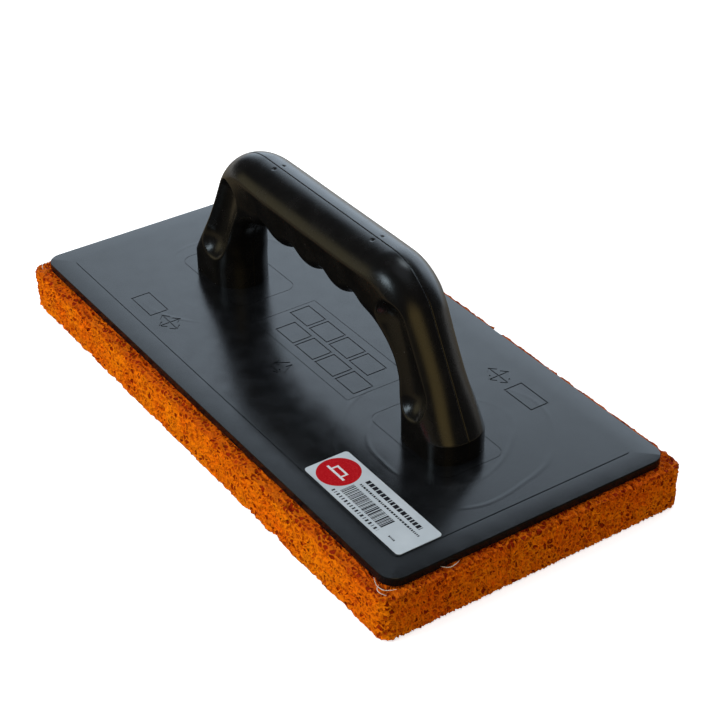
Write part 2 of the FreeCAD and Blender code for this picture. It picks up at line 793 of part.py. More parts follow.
def export(pieces):
    os.makedirs("parts", exist_ok=True)
    for piece in pieces:
        shape = piece.Shape
        if shape.isNull() or not shape.isValid():
            raise RuntimeError(f"{piece.Label} has no valid shape")
        shape.exportStep(f"parts/{piece.Label}.step")
        box = shape.BoundBox
        print(f"{piece.Label}: {len(shape.Solids)} solid(s), {shape.Volume:.0f} mm3, "
              f"z {box.ZMin:.2f} to {box.ZMax:.2f}")


pieces = [make_sponge_pad(), make_glue_film(), make_base_plate()]
pieces += make_grip_shells()
pieces += [make_foot_screws(), make_label()]
doc.recompute()
check_objects()
export(pieces)
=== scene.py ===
import math
import random

import bpy
import numpy as np
from mathutils import Matrix, Vector


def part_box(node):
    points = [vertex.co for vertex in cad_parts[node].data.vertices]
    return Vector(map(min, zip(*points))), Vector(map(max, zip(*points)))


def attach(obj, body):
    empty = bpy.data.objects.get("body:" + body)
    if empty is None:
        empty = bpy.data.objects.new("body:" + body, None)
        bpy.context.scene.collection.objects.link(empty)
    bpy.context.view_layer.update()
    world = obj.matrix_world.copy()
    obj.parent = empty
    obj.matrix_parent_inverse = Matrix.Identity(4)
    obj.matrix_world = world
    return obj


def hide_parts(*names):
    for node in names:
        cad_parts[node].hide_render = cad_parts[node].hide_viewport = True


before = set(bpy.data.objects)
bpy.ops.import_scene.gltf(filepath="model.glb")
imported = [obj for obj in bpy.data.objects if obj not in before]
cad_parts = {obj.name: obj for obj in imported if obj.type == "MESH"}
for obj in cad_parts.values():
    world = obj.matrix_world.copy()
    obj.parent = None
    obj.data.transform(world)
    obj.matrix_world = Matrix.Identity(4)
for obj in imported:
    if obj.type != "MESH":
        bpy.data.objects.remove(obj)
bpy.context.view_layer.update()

MM = 0.001
BACKDROP_WAY = (-0.56, 0.83)
# Two dim warm walls: the way each lies, where it fades in and is full, and its glow.
WARM_WALLS = (
    ((0.84, -0.45, 0.30), 0.90, 0.985, (0.80, 0.59, 0.23)),
    ((-0.72, -0.66, 0.20), 0.93, 0.99, (0.50, 0.44, 0.26)),
)
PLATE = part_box("base_plate")
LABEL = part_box("label")
PLATE_TOP = LABEL[0][2] / MM
BORDER = 0.010
SCREW_PLACE = 78.4
SINK_RINGS = (0.031, 0.044)
PLASTIC_IOR = 1.58
SHEEN_SPREAD = 0.04


# ---------------------------------------------------------------- small helpers


def smooth(t):
    t = min(max(t, 0.0), 1.0)
    return t * t * (3 - 2 * t)


def mesh_object(name, points, faces, material, soft_angle=None):
    """A mesh object from points in millimetres. Edges sharper than soft_angle degrees stay crisp."""
    mesh = bpy.data.meshes.new(name)
    mesh.from_pydata([tuple(c * MM for c in p) for p in points], [], faces)
    mesh.validate()
    mesh.polygons.foreach_set("use_smooth", [soft_angle is not None] * len(mesh.polygons))
    if soft_angle is not None:
        mesh.set_sharp_from_angle(angle=math.radians(soft_angle))
    obj = bpy.data.objects.new(name, mesh)
    bpy.context.scene.collection.objects.link(obj)
    obj.data.materials.append(material)
    return obj


# ---------------------------------------------------------------- shader groups


def new_group(name, inputs, outputs):
    group = bpy.data.node_groups.new(name, "ShaderNodeTree")
    for label, default in inputs:
        socket = group.interface.new_socket(label, in_out="INPUT", socket_type="NodeSocketFloat")
        socket.default_value = default
    for label, kind in outputs:
        group.interface.new_socket(label, in_out="OUTPUT", socket_type=kind)
    return group


def node(tree, kind, **settings):
    made = tree.nodes.new(kind)
    for key, value in settings.items():
        setattr(made, key, value)
    return made


def put(tree, source, target):
    tree.links.new(source, target)


def calc(tree, operation, a, b=None, clamp=False):
    made = node(tree, "ShaderNodeMath", operation=operation, use_clamp=clamp)
    for index, value in enumerate((a, b)):
        if value is None:
            continue
        if isinstance(value, (int, float)):
            made.inputs[index].default_value = value
        else:
            put(tree, value, made.inputs[index])
    return made.outputs[0]


def remap(tree, value, low, high, to_low=0.0, to_high=1.0):
    made = node(tree, "ShaderNodeMapRange", interpolation_type="SMOOTHSTEP")
    made.inputs["From Min"].default_value = low
    made.inputs["From Max"].default_value = high
    made.inputs["To Min"].default_value = to_low
    made.inputs["To Max"].default_value = to_high
    put(tree, value, made.inputs["Value"])
    return made.outputs["Result"]


def noise(tree, where, scale, detail):
    made = node(tree, "ShaderNodeTexNoise")
    made.inputs["Scale"].default_value = scale
    made.inputs["Detail"].default_value = detail
    put(tree, where, made.inputs["Vector"])
    return made.outputs["Fac"]


def object_place(tree):
    return node(tree, "ShaderNodeTexCoord").outputs["Object"]


def parts_of(tree, vector):
    """The X, Y and Z of a vector."""
    split = node(tree, "ShaderNodeSeparateXYZ")
    put(tree, vector, split.inputs[0])
    return split.outputs


def moulded_grain():
    """Fine spark-eroded grain of a moulding, with slow swells: outputs a height and a mask."""
    tree = new_group("moulded_grain", [("Fine", 1.0), ("Swell", 0.3)],
                     [("Height", "NodeSocketFloat"), ("Mottle", "NodeSocketFloat")])
    ins, outs = node(tree, "NodeGroupInput"), node(tree, "NodeGroupOutput")
    where = object_place(tree)
    fine = calc(tree, "MULTIPLY", noise(tree, where, 2600, 3), ins.outputs["Fine"])
    swell = calc(tree, "MULTIPLY", noise(tree, where, 55, 2), ins.outputs["Swell"])
    put(tree, calc(tree, "ADD", fine, swell), outs.inputs["Height"])
    put(tree, noise(tree, where, 130, 5), outs.inputs["Mottle"])
    return tree


def handling_marks():
    """Short light scratches in two directions and a few specks, as a mask from 0 to 1."""
    tree = new_group("handling_marks", [("Amount", 1.0)], [("Mask", "NodeSocketFloat")])
    ins, outs = node(tree, "NodeGroupInput"), node(tree, "NodeGroupOutput")
    where = object_place(tree)
    total = None
    for turn, scale in ((0.5, 130), (-0.9, 90)):
        mapping = node(tree, "ShaderNodeMapping")
        mapping.inputs["Rotation"].default_value = (0.2, 0.1, turn)
        mapping.inputs["Scale"].default_value = (1.0, 26.0, 8.0)
        put(tree, where, mapping.inputs["Vector"])
        lines = noise(tree, mapping.outputs["Vector"], scale, 1)
        patches = remap(tree, noise(tree, where, 60 + scale / 4, 1), 0.56, 0.7)
        mask = calc(tree, "MULTIPLY", remap(tree, lines, 0.76, 0.84), patches)
        total = mask if total is None else calc(tree, "MAXIMUM", total, mask)
    cells = node(tree, "ShaderNodeTexVoronoi")
    cells.inputs["Scale"].default_value = 140
    put(tree, where, cells.inputs["Vector"])
    specks = remap(tree, cells.outputs["Distance"], 0.07, 0.03)
    total = calc(tree, "MAXIMUM", total, calc(tree, "MULTIPLY", specks, 0.25))
    put(tree, calc(tree, "MULTIPLY", total, ins.outputs["Amount"], clamp=True), outs.inputs["Mask"])
    return tree


GRAIN = moulded_grain()
MARKS = handling_marks()


def new_material(name):
    material = bpy.data.materials.new(name)
    material.use_nodes = True
    tree = material.node_tree
    return material, tree, tree.nodes["Principled BSDF"]


def use_group(tree, group, **values):
    made = node(tree, "ShaderNodeGroup", node_tree=group)
    for label, value in values.items():
        made.inputs[label].default_value = value
    return made


def blend_colours(tree, factor, low, high):
    made = node(tree, "ShaderNodeMix", data_type="RGBA")
    put(tree, factor, made.inputs["Factor"])
    for socket, colour in ((made.inputs[6], low), (made.inputs[7], high)):
        if isinstance(colour, tuple):
            socket.default_value = (*colour, 1)
        else:
            put(tree, colour, socket)
    return made.outputs[2]


def bump(tree, height, distance, under=None):
    """The normal of a height; under is a broader normal that it adds to."""
    made = node(tree, "ShaderNodeBump")
    made.inputs["Distance"].default_value = distance
    put(tree, height, made.inputs["Height"])
    if under is not None:
        put(tree, under, made.inputs["Normal"])
    return made.outputs["Normal"]


def black_plastic(name, colour, roughness, fine, swell, marks):
    """Black moulded plastic: grain, slow swells, uneven gloss and light handling marks."""
    material, tree, shader = new_material(name)
    grain = use_group(tree, GRAIN, Fine=fine, Swell=swell)
    worn = use_group(tree, MARKS, Amount=marks)
    dusty = tuple(c * 1.8 for c in colour)
    tone = blend_colours(tree, remap(tree, grain.outputs["Mottle"], 0.3, 0.8), colour, dusty)
    tone = blend_colours(tree, worn.outputs["Mask"], tone, (0.13, 0.12, 0.11))
    put(tree, tone, shader.inputs["Base Color"])
    smooth, dull = roughness - SHEEN_SPREAD / 2, roughness + SHEEN_SPREAD
    gloss = remap(tree, grain.outputs["Mottle"], 0.3, 0.75, smooth, dull)
    dulled = calc(tree, "ADD", gloss, calc(tree, "MULTIPLY", worn.outputs["Mask"], 0.2))
    put(tree, dulled, shader.inputs["Roughness"])
    shader.inputs["IOR"].default_value = PLASTIC_IOR
    put(tree, bump(tree, grain.outputs["Height"], 0.00005), shader.inputs["Normal"])
    return material, tree, shader, grain


# ---------------------------------------------------------------- the plate


def edge_fall(tree, where):
    """The normal of the plate's border, which falls away slightly towards the edge."""
    place = parts_of(tree, where)
    gaps = [calc(tree, "SUBTRACT", PLATE[1][axis], calc(tree, "ABSOLUTE", place[axis])) for axis in (0, 1)]
    share = calc(tree, "DIVIDE", calc(tree, "MINIMUM", *gaps), BORDER)
    fall = calc(tree, "SUBTRACT", 1.0, share, clamp=True)
    return bump(tree, calc(tree, "MULTIPLY", calc(tree, "MULTIPLY", fall, fall), -0.30), 0.001)


def plate_material():
    """The plate's black plastic, with soft sink rings round each foot and duller upright edges."""
    colour = (0.0040, 0.0044, 0.005)
    material, tree, shader, grain = black_plastic("plate_black", colour, 0.19, 0.3, 0.4, 0.25)
    where = object_place(tree)
    rings = None
    for side in (1, -1):
        away = node(tree, "ShaderNodeVectorMath", operation="DISTANCE")
        put(tree, where, away.inputs[0])
        away.inputs[1].default_value = (side * SCREW_PLACE * MM, 0, PLATE_TOP * MM)
        wobble = calc(tree, "MULTIPLY", calc(tree, "SUBTRACT", noise(tree, where, 18, 1), 0.5), 0.018)
        reach = calc(tree, "ADD", away.outputs["Value"], wobble)
        ring = None
        for radius in SINK_RINGS:
            near = calc(tree, "ABSOLUTE", calc(tree, "SUBTRACT", reach, radius))
            broken = remap(tree, noise(tree, where, 26, 1), 0.42, 0.6)
            line = calc(tree, "MULTIPLY", remap(tree, near, 0.0016, 0.0), broken)
            ring = line if ring is None else calc(tree, "MAXIMUM", ring, line)
        rings = ring if rings is None else calc(tree, "MAXIMUM", rings, ring)
    height = calc(tree, "ADD", grain.outputs["Height"], calc(tree, "MULTIPLY", rings, 0.5))
    put(tree, bump(tree, height, 0.00006, edge_fall(tree, where)), shader.inputs["Normal"])
    turned = parts_of(tree, node(tree, "ShaderNodeNewGeometry").outputs["Normal"])
    upright = remap(tree, turned["Z"], 0.7, 0.2)
    shine = calc(tree, "SUBTRACT", 0.5, calc(tree, "MULTIPLY", upright, 0.4))
    put(tree, shine, shader.inputs["Specular IOR Level"])
    return material


# ---------------------------------------------------------------- the grip

# Sizes in millimetres; heights above the plate. The same lines and sections as the CAD grip, with
# soft lips where the CAD has crisp ones.
GRIP = {
    "height": 70, "span": 192, "foot_length": 35.2, "foot_half": 13.2, "foot_corner": 12, "foot_square": 2.3,
    "collar": 9, "lean": math.radians(28), "outer_bend": 30, "inner_bend": 22, "belly": 40.5,
    "bar_half": 15.2, "leg_half": 12.7, "crease": 8.5, "band_half": 11.8, "band": 12.5, "pitch": 21.2,
    "dip": 4.6, "edge_dip": 2.6, "fingers": 4, "leg_square": 2.5, "foot_blend": 28, "leg_reach": 38,
    "leg_blend": 60, "scoop_radius": 11.2, "scoop_depth": 4.5, "scoop_low": 22.8, "scoop_high": 48,
    "scoop_setback": 12.7,
}
# how far the skin's corners and the scoops' rims are rounded
LIP = 1.5
SCOOP_LIP = 1.3
# the alignment dots as (x, across), and the seam line
DOT_PLACES = ((35.5, 2.3), (-35.5, 2.3))
DOT_RADIUS = 0.85
DOT_DEEP = 0.55
SEAM_HALF = 0.22
SEAM_DEEP = 0.32


def outer_line():
    g = GRIP
    turn = math.pi / 2 - g["lean"]
    apex_x = g["span"] / 2 - (g["height"] - g["collar"]) * math.tan(g["lean"])
    tangent = g["outer_bend"] * math.tan(turn / 2)
    cx, cz = apex_x - tangent, g["height"] - g["outer_bend"]
    run = (g["height"] - g["collar"]) / math.cos(g["lean"]) - tangent

    def point(place):
        if place <= run:
            return g["span"] / 2 - place * math.sin(g["lean"]), g["collar"] + place * math.cos(g["lean"])
        swing = g["lean"] + (place - run) / g["outer_bend"]
        return cx + g["outer_bend"] * math.cos(swing), cz + g["outer_bend"] * math.sin(swing)

    return run + g["outer_bend"] * turn, point


def inner_line():
    g = GRIP
    foot_x = g["span"] / 2 - g["foot_length"]
    run = g["belly"] - g["inner_bend"] - g["collar"]

    def point(place):
        if place <= run:
            return foot_x, g["collar"] + place
        swing = (place - run) / g["inner_bend"]
        bend = g["inner_bend"]
        return foot_x - bend + bend * math.cos(swing), g["belly"] - bend + bend * math.sin(swing)

    return run + g["inner_bend"] * math.pi / 2, point


def grip_stations():
    """(outer, inner, legness, footness) from the right collar to the left one."""
    g = GRIP
    outer_length, outer = outer_line()
    inner_length, inner = inner_line()
    right = []
    steps = 110
    for step in range(steps + 1):
        share = step / steps
        right.append((outer(outer_length * share), inner(inner_length * share), outer_length * share))
    bar_out, bar_in = right[-1][0][0], right[-1][1][0]
    for step in range(1, 91):
        share = 1 - step / 90
        right.append(((bar_out * share, g["height"]), (bar_in * share, g["belly"]),
                      outer_length + bar_out * (1 - share)))
    line = []
    for o, i, reach in right:
        legness = 1 - smooth((reach - g["leg_reach"]) / g["leg_blend"])
        line.append((o, i, legness, 1 - smooth(reach / g["foot_blend"])))
    return line + [((-o[0], o[1]), (-i[0], i[1]), leg, foot) for o, i, leg, foot in line[-2::-1]]


def finger_wave(x):
    g = GRIP
    if abs(x) > g["pitch"] * g["fingers"] / 2:
        return 0.0
    return (0.5 + 0.5 * math.cos((x / g["pitch"] + 0.5) * 2 * math.pi)) ** 1.3


def section_points(outer, inner, legness, footness):
    """(across, in) from the spine to the belly on one side of the section."""
    g = GRIP
    depth = math.dist(outer, inner)
    width = g["bar_half"] + (g["leg_half"] - g["bar_half"]) * legness
    width += (g["foot_half"] - width) * footness
    spine = width + (g["foot_corner"] - width) * footness
    power = 2 / (2 + footness * (g["foot_square"] - 2))
    crease = math.acos(1 - g["crease"] / g["bar_half"])
    sweep = crease + (math.pi / 2 - crease) * footness
    points = [(width * math.sin(sweep * k / 40) ** power, spine * (1 - math.cos(sweep * k / 40) ** power))
              for k in range(41)]
    edge_across, edge_in = points[-1]
    wave = finger_wave(inner[0]) * (1 - legness)
    low_in = g["crease"] + g["band"] - g["edge_dip"] * wave
    low_in += (0.6 * depth - low_in) * legness
    low_in += (depth - width - low_in) * footness
    low_across = g["band_half"] + (edge_across - g["band_half"]) * legness
    low_across += (width - low_across) * footness
    for k in range(1, 24):
        share = k / 24
        across = edge_across + (low_across - edge_across) * share
        points.append((across, edge_in + (low_in - edge_in) * share))
    bottom = depth - g["dip"] * wave
    power = 2 / (2 + legness * (1 - footness) * (g["leg_square"] - 2))
    for k in range(37):
        angle = math.pi / 2 * k / 36
        across = low_across * max(math.cos(angle), 0.0) ** power if k < 36 else 0.0
        points.append((across, low_in + (bottom - low_in) * math.sin(angle) ** power))
    return points


def softened(points, lip):
    """The same line with its corners rounded: each point is averaged with those within lip of it."""
    line = np.array([(-points[1][0], points[1][1])] + points + [(-points[-2][0], points[-2][1])])
    for _ in range(3):
        step = np.linalg.norm(np.diff(line, axis=0), axis=1)
        weight = np.minimum(step[:-1], step[1:]) / (step[:-1] + step[1:])
        share = np.minimum(1.0, lip / (step[:-1] + step[1:] + 0.2))[:, None] * 0.5
        middle = (line[:-2] + line[2:]) / 2
        line[1:-1] += (middle - line[1:-1]) * share * (weight[:, None] > 0)
        line[0] = (-line[2][0], line[2][1])
        line[-1] = (-line[-3][0], line[-3][1])
    return line[1:-1]


def scoop_surface(x, z, side):
    """How far out, as a distance across, the scoop's floor lies at (x, z); huge outside it."""
    g = GRIP
    sunk = g["band_half"] - g["scoop_depth"] + g["scoop_radius"]

    def centre(height):
        outer_x = g["span"] / 2 - (height - g["collar"]) * math.tan(g["lean"])
        return np.array([side * (outer_x - g["scoop_setback"] / math.cos(g["lean"])), height])

    low, high = centre(g["scoop_low"]), centre(g["scoop_high"])
    along = (high - low) / np.linalg.norm(high - low)
    rel = np.stack([x - low[0], z - low[1]], -1)
    place = np.clip(rel @ along, 0, np.linalg.norm(high - low))
    gap = np.linalg.norm(rel - place[..., None] * along, axis=-1)
    inside = np.clip(g["scoop_radius"] ** 2 - gap ** 2, 0, None)
    return np.where(gap < g["scoop_radius"], sunk - np.sqrt(inside), 99.0)


def soft_least(a, b, width):
    mix = np.clip(0.5 + 0.5 * (b - a) / width, 0, 1)
    return b * (1 - mix) + a * mix - width * mix * (1 - mix)


def grip_skin():
    """The near side of the grip as a grid of (x, across, height): stations by points round."""
    rows = []
    line = grip_stations()
    for outer, inner, legness, footness in line:
        gap = math.dist(outer, inner)
        down = ((inner[0] - outer[0]) / gap, (inner[1] - outer[1]) / gap)
        section = softened(section_points(outer, inner, legness, footness), LIP)
        section[0][0] = section[-1][0] = 0.0
        rows.append([(outer[0] + down[0] * i, a, outer[1] + down[1] * i) for a, i in section])
    # down the collars
    for end in (0, -1):
        foot = rows[end]
        extra = [[(x, a, h * share) for x, a, h in foot] for share in (0.995, 0.97, 0.75, 0.5, 0.25, 0.0)]
        rows = extra[::-1] + rows if end == 0 else rows + extra
    grid = np.array(rows)
    x, across, height = grid[..., 0], grid[..., 1], grid[..., 2]
    for side in (1, -1):
        floor = scoop_surface(x, height, side)
        cut = soft_least(across, floor, SCOOP_LIP)
        across = np.where(floor < 98, np.maximum(np.minimum(across, cut), 0), across)
    for place in DOT_PLACES:
        away = np.hypot(x - place[0], across - place[1]) + np.where(height > GRIP["height"] - 3, 0, 99)
        height = height - DOT_DEEP * np.clip(1 - (away / DOT_RADIUS) ** 2, 0, None)
    return np.stack([x, across, height], -1)


def seam_columns(grid):
    """Adds narrow columns beside the middle plane and sinks the one on it, for the seam line."""

    def beside(first, second):
        run = second - first
        unit = run / np.linalg.norm(run, axis=-1, keepdims=True)
        return [first + unit * reach for reach in (SEAM_HALF * 0.35, SEAM_HALF, SEAM_HALF * 1.8)]

    spine = beside(grid[:, 0], grid[:, 1])
    belly = beside(grid[:, -1], grid[:, -2])
    centre = (grid[:, 0] + grid[:, -1]) / 2
    pull = centre - grid[:, 0]
    pull /= np.linalg.norm(pull, axis=-1, keepdims=True)
    first = grid[:, 0] + pull * SEAM_DEEP
    last = grid[:, -1] - pull * SEAM_DEEP
    columns = [first, spine[0] + pull * SEAM_DEEP * 0.75, spine[1] + pull * 0.04, spine[2]]
    columns += [grid[:, k] for k in range(1, grid.shape[1] - 1)]
    columns += [belly[2], belly[1] - pull * 0.04, belly[0] - pull * SEAM_DEEP * 0.75, last]
    return np.stack(columns, 1)


def grip_half_mesh(name, side, material):
    """One shell's outer skin, closed along the middle and under its feet. side is its Y sign."""
    grid = seam_columns(grip_skin())
    count, around = grid.shape[:2]
    points = [(p[0], side * p[1], p[2] + PLATE_TOP) for row in grid for p in row]
    faces = []
    for i in range(count - 1):
        for j in range(around - 1):
            a, b = i * around + j, i * around + j + 1
            quad = (a, b, b + around, a + around)
            faces.append(quad if side < 0 else quad[::-1])
        a, b = i * around, i * around + around - 1
        quad = (a + around, b + around, b, a)
        faces.append(quad if side < 0 else quad[::-1])
    low = list(range(around))
    high = [(count - 1) * around + j for j in range(around)]
    faces.append(tuple(low[::-1]) if side < 0 else tuple(low))
    faces.append(tuple(high) if side < 0 else tuple(high[::-1]))
    return mesh_object(name, points, faces, material, soft_angle=50)


def grip_material():
    """The grip's satin black plastic, a little warmer and duller than the plate's."""
    return black_plastic("grip_black", (0.0030, 0.0028, 0.0026), 0.25, 0.4, 0.3, 0.5)[0]


# ---------------------------------------------------------------- the foam pad

# In millimetres: the mesh step, the pad's sizes, and how far its ragged skin may stand proud.
FOAM_STEP = 0.37
PORE_SEED = 11
PAD_HALF = (140.0, 70.0)
PAD_CORNER = 5.0
PAD_HEIGHT = 20.0
EDGE_ROUND = 1.2
CORNER_STEPS = 18
PROUD = 0.45
# spacing of the pores, wall width, and how deep the shallow and deep ones go
PORE_LAYERS = ((2.3, 0.40, 0.3, 2.0), (1.2, 0.30, 0.05, 0.6))
# in metres: the cells of the colour and the fine relief, and how far they are pushed out of true
WIDE_CELL = 0.0023
FINE_CELL = 0.00105
WARP_SCALE, WARP_REACH = 420, 0.0011
# tones of the walls, from dark to light, then painted shade: in the hollows, in the hollows of the top rim
# under the plate, in the small hollows, on the top rim under the plate, and in the deep pores
FOAM_WALL = ((0.94, 0.180, 0.0006), (1.0, 0.265, 0.0010))
HOLLOW_SHADE = (0.44, 0.045, 0.0003)
RIM_HOLLOW_SHADE = (0.34, 0.020, 0.0002)
FINE_HOLLOW_SHADE = (0.50, 0.042, 0.0003)
RIM_SHADE = (0.32, 0.022, 0.0002)
DEEP_PORE_SHADE = (0.27, 0.014, 0.0002)


def pad_outline(inset):
    """(x, y, outward x, outward y) round the pad, moved inwards. Every outline has the same count."""
    r = max(PAD_CORNER - inset, 0.5)
    half_l, half_w = PAD_HALF[0] - inset - r, PAD_HALF[1] - inset - r
    corners = [(half_l, -half_w, -90), (half_l, half_w, 0), (-half_l, half_w, 90), (-half_l, -half_w, 180)]
    ring = []
    for k, (cx, cy, start) in enumerate(corners):
        for step in range(CORNER_STEPS):
            angle = math.radians(start + 90 * step / CORNER_STEPS)
            nx, ny = math.cos(angle), math.sin(angle)
            ring.append((cx + r * nx, cy + r * ny, nx, ny))
        after = corners[(k + 1) % 4]
        turn = math.radians(start + 90)
        nx, ny = math.cos(turn), math.sin(turn)
        steps = int(2 * (PAD_HALF[k % 2] - PAD_CORNER) / FOAM_STEP)
        for step in range(steps):
            t = step / steps
            ring.append((cx + r * nx + (after[0] - cx) * t, cy + r * ny + (after[1] - cy) * t, nx, ny))
    return np.array(ring)


def pore_layer(width, height, spacing, wall, shallow, deep, source):
    """A grid of pore depths in millimetres, endless across its width: uneven cells, of which some
    are more open than others, with thin walls between them."""
    across = max(int(round(width * FOAM_STEP / spacing)), 4)
    up = int(math.ceil(height * FOAM_STEP / spacing)) + 2
    pitch = width * FOAM_STEP / across
    seeds = np.array([[(source.uniform(-0.48, 0.48), source.uniform(-0.48, 0.48), source.uniform(0.72, 1.35),
                        source.random()) for _ in range(across)] for _ in range(up)])
    x = np.arange(width)[None, :] * FOAM_STEP + np.zeros((height, 1))
    y = np.arange(height)[:, None] * FOAM_STEP + np.zeros((1, width))
    x = x + 0.16 * np.sin(y * 2.3 + 0.7)
    y = y + 0.16 * np.sin(x * 2.0 + 1.3)
    column, row = np.floor(x / pitch).astype(int), np.floor(y / spacing).astype(int)
    nearest = np.full(x.shape, 99.0)
    second = np.full(x.shape, 99.0)
    openness = np.zeros(x.shape)
    for di in (-2, -1, 0, 1, 2):
        for dj in (-2, -1, 0, 1, 2):
            r = np.clip(row + dj + 1, 0, up - 1)
            seed = seeds[r, (column + di) % across]
            sx = (column + di + 0.5 + seed[..., 0]) * pitch
            sy = (row + dj + 0.5 + seed[..., 1]) * spacing
            away = np.hypot(x - sx, y - sy) / seed[..., 2]
            closer = away < nearest
            second = np.where(closer, nearest, np.minimum(second, away))
            openness = np.where(closer, seed[..., 3], openness)
            nearest = np.where(closer, away, nearest)
    gap = second - nearest
    bowl = np.clip((gap - wall * 0.35) / wall, 0, 1) * (0.55 + 0.45 * np.clip(gap / spacing, 0, 1))
    return bowl * (shallow + (deep - shallow) * openness ** 1.6)


def pore_field(width, height, source):
    """Wide pores with small ones in their walls, as depths in millimetres."""
    return np.maximum(*[pore_layer(width, height, *layer, source) for layer in PORE_LAYERS])


def foam_pad(material):
    """The pad as one closed skin: porous sides and rims, a flat middle below and under the plate."""
    source = random.Random(PORE_SEED)
    profile = []
    for k in range(5):
        angle = math.radians(90 * k / 4)
        profile.append((EDGE_ROUND * (1 - math.sin(angle)), EDGE_ROUND * (1 - math.cos(angle))))
    run = PAD_HEIGHT - 2 * EDGE_ROUND
    steps = int(run / FOAM_STEP)
    profile += [(0.0, EDGE_ROUND + run * k / steps) for k in range(1, steps)]
    profile += [(inset, PAD_HEIGHT - z) for inset, z in profile[4::-1]]
    rim = [EDGE_ROUND + FOAM_STEP * k for k in range(1, 15)]
    rows = [(inset, 0.0) for inset in rim[::-1]] + profile + [(inset, PAD_HEIGHT) for inset in rim]
    rings = [pad_outline(inset) for inset, _ in rows]
    count = len(rings[0])
    depth = pore_field(count, len(rows), source)
    around, up = np.arange(count) / count * 2 * math.pi, np.arange(len(rows)) / len(rows) * 6.3
    swell = np.zeros((len(rows), count))
    for _ in range(6):
        turns, phase, rise = source.randint(60, 300), source.uniform(0, 6.3), source.uniform(0.5, 4)
        swell += 0.09 * np.sin(around[None, :] * turns + phase + rise * up[:, None])
    # the rings round the two flat faces stay level, so that those faces are flat and evenly coloured
    for ring in (0, -1):
        depth[ring] = swell[ring] = 0
    points = []
    for r, (inset, z) in enumerate(rows):
        # how much of a pore goes inwards at this height, and how much up or down
        slope = min(max((EDGE_ROUND - inset) / EDGE_ROUND, 0.0), 1.0)
        sink = depth[r] - PROUD + swell[r]
        x, y, nx, ny = rings[r].T
        lift = np.clip(depth[r] + swell[r], 0, 1.7) * (1 - slope) * (1 if z < PAD_HEIGHT / 2 else -1)
        points.append(np.stack([x - nx * sink * slope, y - ny * sink * slope, z + lift], -1))
    points = np.concatenate(points)
    faces = []
    for r in range(len(rows) - 1):
        for c in range(count):
            a, b = r * count + c, r * count + (c + 1) % count
            faces.append((a, b, b + count, a + count))
    faces.append(tuple(range((len(rows) - 1) * count, len(rows) * count)))
    faces.append(tuple(range(count))[::-1])
    pad = mesh_object("foam_pad", points, faces, material, soft_angle=38)
    mark = pad.data.attributes.new("pore", "FLOAT", "POINT")
    mark.data.foreach_set("value", depth.ravel())
    return pad


def foam_cells(tree, where, size):
    """Open cells of about one size: (bright wall, hollow of the cell, a random number for each)."""
    edge = node(tree, "ShaderNodeTexVoronoi", feature="DISTANCE_TO_EDGE")
    inside = node(tree, "ShaderNodeTexVoronoi")
    for cells in (edge, inside):
        cells.inputs["Scale"].default_value = 1 / size
        put(tree, where, cells.inputs["Vector"])
    pick = node(tree, "ShaderNodeSeparateColor")
    put(tree, inside.outputs["Color"], pick.inputs[0])
    away = edge.outputs["Distance"]
    return remap(tree, away, 0.14, 0.06), remap(tree, away, 0.06, 0.24), pick.outputs[0]


